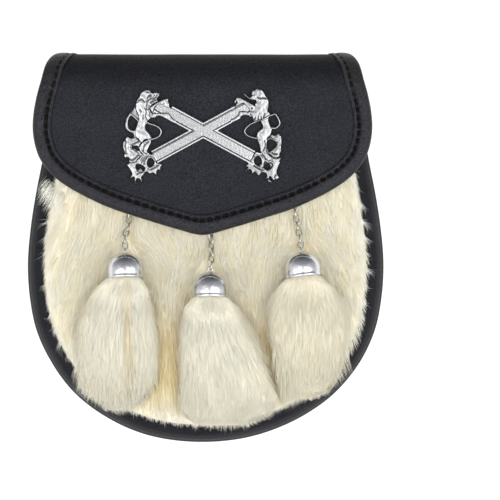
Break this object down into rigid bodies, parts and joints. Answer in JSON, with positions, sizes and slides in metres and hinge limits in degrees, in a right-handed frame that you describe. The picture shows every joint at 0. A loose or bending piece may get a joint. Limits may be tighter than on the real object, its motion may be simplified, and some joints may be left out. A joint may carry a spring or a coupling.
{
  "type": "sporran pouch",
  "caption": "Leather sporran pouch with a fur front, a bound front flap with a saltire and rampant lions badge, and fur tassels on chains under bell caps.",
  "frame": {"origin": "centre of the bounding box on the surface that the pouch lies on, its back down", "axes": "+X to the right seen from the front, +Y towards the top fold, +Z out of the front"},
  "size_m": [0.2064, 0.226, 0.0599],
  "materials": {
    "body_leather": "smooth black moulded leather, satin",
    "flap_leather": "black leather with a fine grain, semi-matt",
    "binding_leather": "black leather strip, stitched, slightly glossier than the flap",
    "front_fur": "ivory fur lying downwards",
    "tassel_fur": "ivory fur, long and soft",
    "badge_metal": "bright plated casting with stippled bars",
    "cap_metal": "mirror polished",
    "chain_metal": "bright plated wire",
    "plain_metal": "bright plated"
  },
  "bodies": {
    "root": {"back_panel": "body_leather", "body_shell": "body_leather", "fur_front": "front_fur", "flap": "flap_leather", "flap_binding": "binding_leather", "badge": "badge_metal", "snap_stud": "plain_metal", "d_ring_left": "plain_metal", "d_ring_right": "plain_metal", "ring_tab_left": "body_leather", "ring_tab_right": "body_leather", "chain_eye_left": "plain_metal", "tassel_cap_left": "cap_metal", "tassel_left": "tassel_fur", "chain_left_01": "chain_metal", "chain_left_02": "chain_metal", "chain_left_03": "chain_metal", "chain_left_04": "chain_metal", "chain_left_05": "chain_metal", "chain_left_06": "chain_metal", "chain_left_07": "chain_metal", "chain_left_08": "chain_metal", "chain_left_09": "chain_metal", "chain_eye_centre": "plain_metal", "tassel_cap_centre": "cap_metal", "tassel_centre": "tassel_fur", "chain_centre_01": "chain_metal", "chain_centre_02": "chain_metal", "chain_centre_03": "chain_metal", "chain_centre_04": "chain_metal", "chain_centre_05": "chain_metal", "chain_centre_06": "chain_metal", "chain_centre_07": "chain_metal", "chain_centre_08": "chain_metal", "chain_eye_right": "plain_metal", "tassel_cap_right": "cap_metal", "tassel_right": "tassel_fur", "chain_right_01": "chain_metal", "chain_right_02": "chain_metal", "chain_right_03": "chain_metal", "chain_right_04": "chain_metal", "chain_right_05": "chain_metal", "chain_right_06": "chain_metal", "chain_right_07": "chain_metal", "chain_right_08": "chain_metal", "chain_right_09": "chain_metal"}
  },
  "joints": []
}
